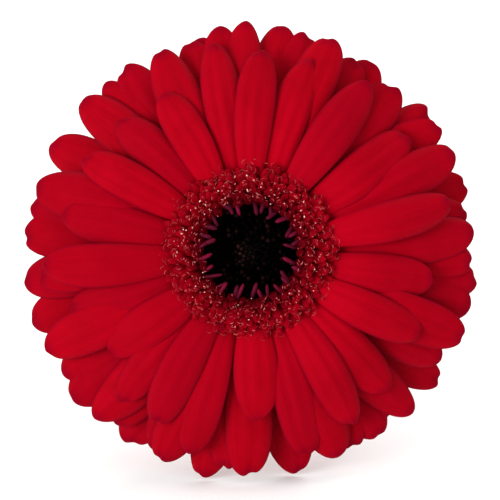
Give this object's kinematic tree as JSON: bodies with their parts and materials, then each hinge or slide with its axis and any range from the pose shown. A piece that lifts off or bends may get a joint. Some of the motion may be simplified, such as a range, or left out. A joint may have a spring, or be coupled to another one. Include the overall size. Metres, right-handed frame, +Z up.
{
  "type": "cut gerbera",
  "caption": "Cut gerbera lying on a surface: a round, flat flower head with layered red ray petals round a dark centre, a cup of green bracts, and a bare, gently bent stem.",
  "frame": {"origin": "on the surface that the flower lies on, under the middle of its bounding box", "axes": "+Z up, +Y from the flower head along the stem towards its cut end, +X to the right as seen looking along +Y into the face"},
  "size_m": [0.1092, 0.3372, 0.1072],
  "materials": {
    "ray_floret": "velvety matte petal with fine lengthwise ribs",
    "trans_floret": "soft matte floret with pale curled tips",
    "disc_floret": "satin anther tubes over dark florets",
    "disc_bud": "matte, finely grained closed buds",
    "bract": "matte green leaf with fine down",
    "stem": "satin green stem with fine ribs and down"
  },
  "bodies": {
    "root": {"outer_ray_01": "ray_floret", "outer_ray_02": "ray_floret", "outer_ray_03": "ray_floret", "outer_ray_04": "ray_floret", "outer_ray_05": "ray_floret", "outer_ray_06": "ray_floret", "outer_ray_07": "ray_floret", "outer_ray_08": "ray_floret", "outer_ray_09": "ray_floret", "outer_ray_10": "ray_floret", "outer_ray_11": "ray_floret", "outer_ray_12": "ray_floret", "outer_ray_13": "ray_floret", "outer_ray_14": "ray_floret", "outer_ray_15": "ray_floret", "outer_ray_16": "ray_floret", "middle_ray_01": "ray_floret", "middle_ray_02": "ray_floret", "middle_ray_03": "ray_floret", "middle_ray_04": "ray_floret", "middle_ray_05": "ray_floret", "middle_ray_06": "ray_floret", "middle_ray_07": "ray_floret", "middle_ray_08": "ray_floret", "middle_ray_09": "ray_floret", "middle_ray_10": "ray_floret", "middle_ray_11": "ray_floret", "middle_ray_12": "ray_floret", "middle_ray_13": "ray_floret", "middle_ray_14": "ray_floret", "middle_ray_15": "ray_floret", "middle_ray_16": "ray_floret", "inner_ray_01": "ray_floret", "inner_ray_02": "ray_floret", "inner_ray_03": "ray_floret", "inner_ray_04": "ray_floret", "inner_ray_05": "ray_floret", "inner_ray_06": "ray_floret", "inner_ray_07": "ray_floret", "inner_ray_08": "ray_floret", "inner_ray_09": "ray_floret", "inner_ray_10": "ray_floret", "inner_ray_11": "ray_floret", "inner_ray_12": "ray_floret", "inner_ray_13": "ray_floret", "inner_ray_14": "ray_floret", "inner_ray_15": "ray_floret", "inner_ray_16": "ray_floret", "inner_ray_17": "ray_floret", "inner_ray_18": "ray_floret", "inner_ray_19": "ray_floret", "inner_ray_20": "ray_floret", "inner_ray_21": "ray_floret", "inner_ray_22": "ray_floret", "trans_florets": "trans_floret", "disc_florets": "disc_floret", "disc_buds": "disc_bud", "involucre": "bract", "scape": "stem"}
  },
  "joints": []
}
